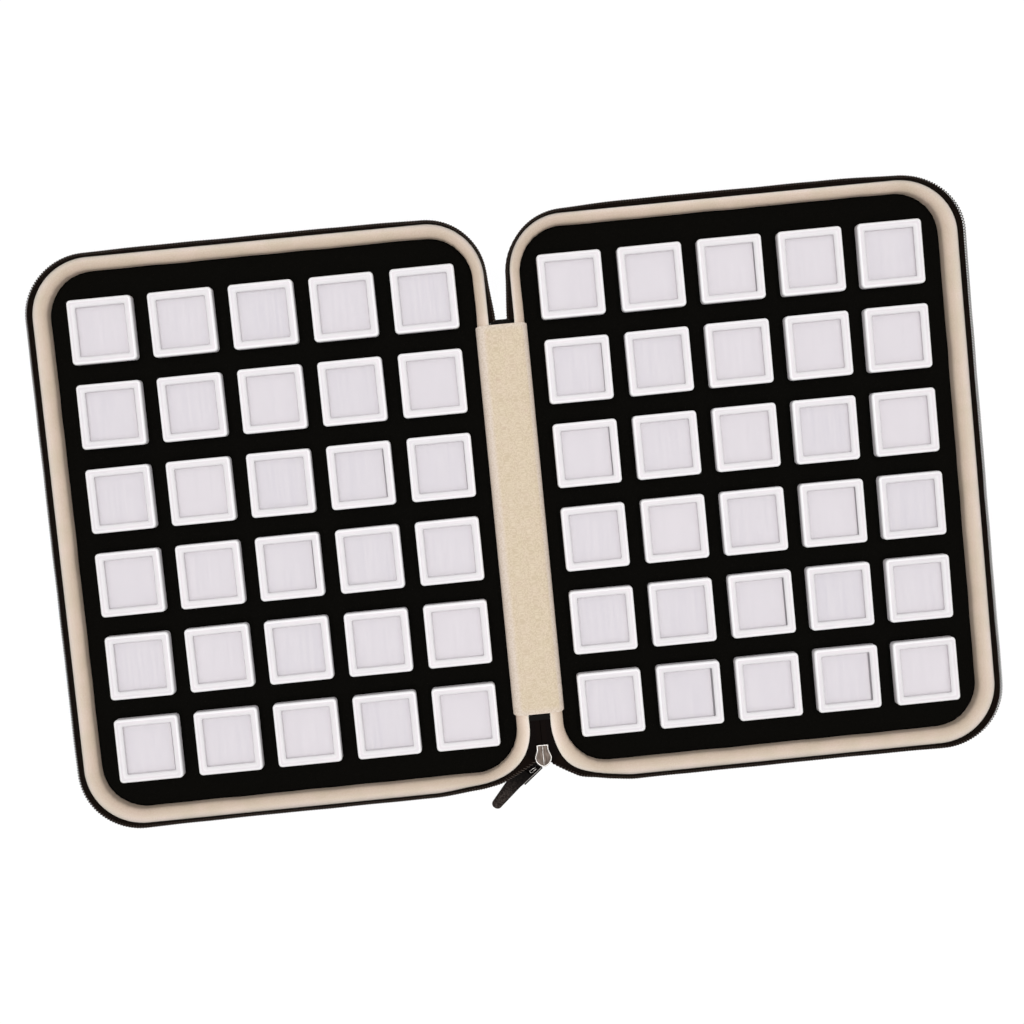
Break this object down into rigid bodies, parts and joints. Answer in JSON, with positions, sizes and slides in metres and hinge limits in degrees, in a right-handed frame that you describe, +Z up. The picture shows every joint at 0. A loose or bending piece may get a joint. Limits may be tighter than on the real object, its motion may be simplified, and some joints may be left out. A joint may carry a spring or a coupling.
{
  "type": "gemstone storage case",
  "caption": "Zippered storage case lying open like a book, with foam inserts that hold rows of square lidded gem boxes.",
  "frame": {"origin": "on the table, under the middle of the open case's outline, between its two halves", "axes": "+X across the open case from the left half to the right, +Y from the zip's closed end at the front to the back, +Z up; the fold lines run along Y"},
  "size_m": [0.431, 0.2824, 0.0291],
  "materials": {
    "shell_fabric": "matte",
    "rim_fabric": "matte",
    "foam_black": "matte",
    "zip_tape": "matte",
    "zip_coil": "satin",
    "spine_leather": "satin",
    "box_white": "gloss",
    "window_clear": "gloss",
    "pad_white": "matte",
    "slider_metal": "satin",
    "bail_metal": "satin",
    "pull_rubber": "satin"
  },
  "bodies": {
    "left_half": {"left_shell": "shell_fabric", "left_rim_lining": "rim_fabric", "left_foam_insert": "foam_black", "left_zipper_tape": "zip_tape", "left_zipper_coil": "zip_coil", "left_band_flap": "spine_leather"},
    "right_half": {"right_shell": "shell_fabric", "right_rim_lining": "rim_fabric", "right_foam_insert": "foam_black", "right_zipper_tape": "zip_tape", "right_zipper_coil": "zip_coil", "right_band_flap": "spine_leather"},
    "spine": {"spine_band": "spine_leather", "spine_cover": "shell_fabric", "zipper_tail": "zip_tape"},
    "slider": {"zip_slider": "slider_metal"},
    "pull": {"pull_bail": "bail_metal", "pull_tab": "pull_rubber"},
    "left_boxes_1": {"left_box_bases_1": "box_white", "left_box_pads_1": "pad_white"},
    "left_lids_1": {"left_box_lids_1": "box_white", "left_box_panes_1": "window_clear"},
    "left_boxes_2": {"left_box_bases_2": "box_white", "left_box_pads_2": "pad_white"},
    "left_lids_2": {"left_box_lids_2": "box_white", "left_box_panes_2": "window_clear"},
    "left_boxes_3": {"left_box_bases_3": "box_white", "left_box_pads_3": "pad_white"},
    "left_lids_3": {"left_box_lids_3": "box_white", "left_box_panes_3": "window_clear"},
    "left_boxes_4": {"left_box_bases_4": "box_white", "left_box_pads_4": "pad_white"},
    "left_lids_4": {"left_box_lids_4": "box_white", "left_box_panes_4": "window_clear"},
    "left_boxes_5": {"left_box_bases_5": "box_white", "left_box_pads_5": "pad_white"},
    "left_lids_5": {"left_box_lids_5": "box_white", "left_box_panes_5": "window_clear"},
    "right_boxes_1": {"right_box_bases_1": "box_white", "right_box_pads_1": "pad_white"},
    "right_lids_1": {"right_box_lids_1": "box_white", "right_box_panes_1": "window_clear"},
    "right_boxes_2": {"right_box_bases_2": "box_white", "right_box_pads_2": "pad_white"},
    "right_lids_2": {"right_box_lids_2": "box_white", "right_box_panes_2": "window_clear"},
    "right_boxes_3": {"right_box_bases_3": "box_white", "right_box_pads_3": "pad_white"},
    "right_lids_3": {"right_box_lids_3": "box_white", "right_box_panes_3": "window_clear"},
    "right_boxes_4": {"right_box_bases_4": "box_white", "right_box_pads_4": "pad_white"},
    "right_lids_4": {"right_box_lids_4": "box_white", "right_box_panes_4": "window_clear"},
    "right_boxes_5": {"right_box_bases_5": "box_white", "right_box_pads_5": "pad_white"},
    "right_lids_5": {"right_box_lids_5": "box_white", "right_box_panes_5": "window_clear"}
  },
  "joints": [
    {"name": "left_fold", "type": "hinge", "parent": "left_half", "child": "spine", "pos_m": [-0.0048, 0, 0.0245], "axis": [0, 1, 0], "range_deg": [-90, 0]},
    {"name": "right_fold", "type": "hinge", "parent": "spine", "child": "right_half", "pos_m": [0.0048, 0, 0.0245], "axis": [0, 1, 0], "range_deg": [-90, 0]},
    {"name": "slider_travel", "type": "slide", "parent": "spine", "child": "slider", "axis": [0, -1, 0], "range_m": [0, 0.0045]},
    {"name": "pull_swing", "type": "hinge", "parent": "slider", "child": "pull", "pos_m": [0, -0.11282, 0.0201], "axis": [-0.7385, 0.6743, 0], "range_deg": [-60, 20]},
    {"name": "left_boxes_1_lift", "type": "slide", "parent": "left_half", "child": "left_boxes_1", "axis": [0, 0, 1], "range_m": [0, 0.025]},
    {"name": "left_lids_1_lift", "type": "slide", "parent": "left_boxes_1", "child": "left_lids_1", "axis": [0, 0, 1], "range_m": [0, 0.012]},
    {"name": "left_boxes_2_lift", "type": "slide", "parent": "left_half", "child": "left_boxes_2", "axis": [0, 0, 1], "range_m": [0, 0.025]},
    {"name": "left_lids_2_lift", "type": "slide", "parent": "left_boxes_2", "child": "left_lids_2", "axis": [0, 0, 1], "range_m": [0, 0.012]},
    {"name": "left_boxes_3_lift", "type": "slide", "parent": "left_half", "child": "left_boxes_3", "axis": [0, 0, 1], "range_m": [0, 0.025]},
    {"name": "left_lids_3_lift", "type": "slide", "parent": "left_boxes_3", "child": "left_lids_3", "axis": [0, 0, 1], "range_m": [0, 0.012]},
    {"name": "left_boxes_4_lift", "type": "slide", "parent": "left_half", "child": "left_boxes_4", "axis": [0, 0, 1], "range_m": [0, 0.025]},
    {"name": "left_lids_4_lift", "type": "slide", "parent": "left_boxes_4", "child": "left_lids_4", "axis": [0, 0, 1], "range_m": [0, 0.012]},
    {"name": "left_boxes_5_lift", "type": "slide", "parent": "left_half", "child": "left_boxes_5", "axis": [0, 0, 1], "range_m": [0, 0.025]},
    {"name": "left_lids_5_lift", "type": "slide", "parent": "left_boxes_5", "child": "left_lids_5", "axis": [0, 0, 1], "range_m": [0, 0.012]},
    {"name": "right_boxes_1_lift", "type": "slide", "parent": "right_half", "child": "right_boxes_1", "axis": [0, 0, 1], "range_m": [0, 0.025]},
    {"name": "right_lids_1_lift", "type": "slide", "parent": "right_boxes_1", "child": "right_lids_1", "axis": [0, 0, 1], "range_m": [0, 0.012]},
    {"name": "right_boxes_2_lift", "type": "slide", "parent": "right_half", "child": "right_boxes_2", "axis": [0, 0, 1], "range_m": [0, 0.025]},
    {"name": "right_lids_2_lift", "type": "slide", "parent": "right_boxes_2", "child": "right_lids_2", "axis": [0, 0, 1], "range_m": [0, 0.012]},
    {"name": "right_boxes_3_lift", "type": "slide", "parent": "right_half", "child": "right_boxes_3", "axis": [0, 0, 1], "range_m": [0, 0.025]},
    {"name": "right_lids_3_lift", "type": "slide", "parent": "right_boxes_3", "child": "right_lids_3", "axis": [0, 0, 1], "range_m": [0, 0.012]},
    {"name": "right_boxes_4_lift", "type": "slide", "parent": "right_half", "child": "right_boxes_4", "axis": [0, 0, 1], "range_m": [0, 0.025]},
    {"name": "right_lids_4_lift", "type": "slide", "parent": "right_boxes_4", "child": "right_lids_4", "axis": [0, 0, 1], "range_m": [0, 0.012]},
    {"name": "right_boxes_5_lift", "type": "slide", "parent": "right_half", "child": "right_boxes_5", "axis": [0, 0, 1], "range_m": [0, 0.025]},
    {"name": "right_lids_5_lift", "type": "slide", "parent": "right_boxes_5", "child": "right_lids_5", "axis": [0, 0, 1], "range_m": [0, 0.012]}
  ]
}
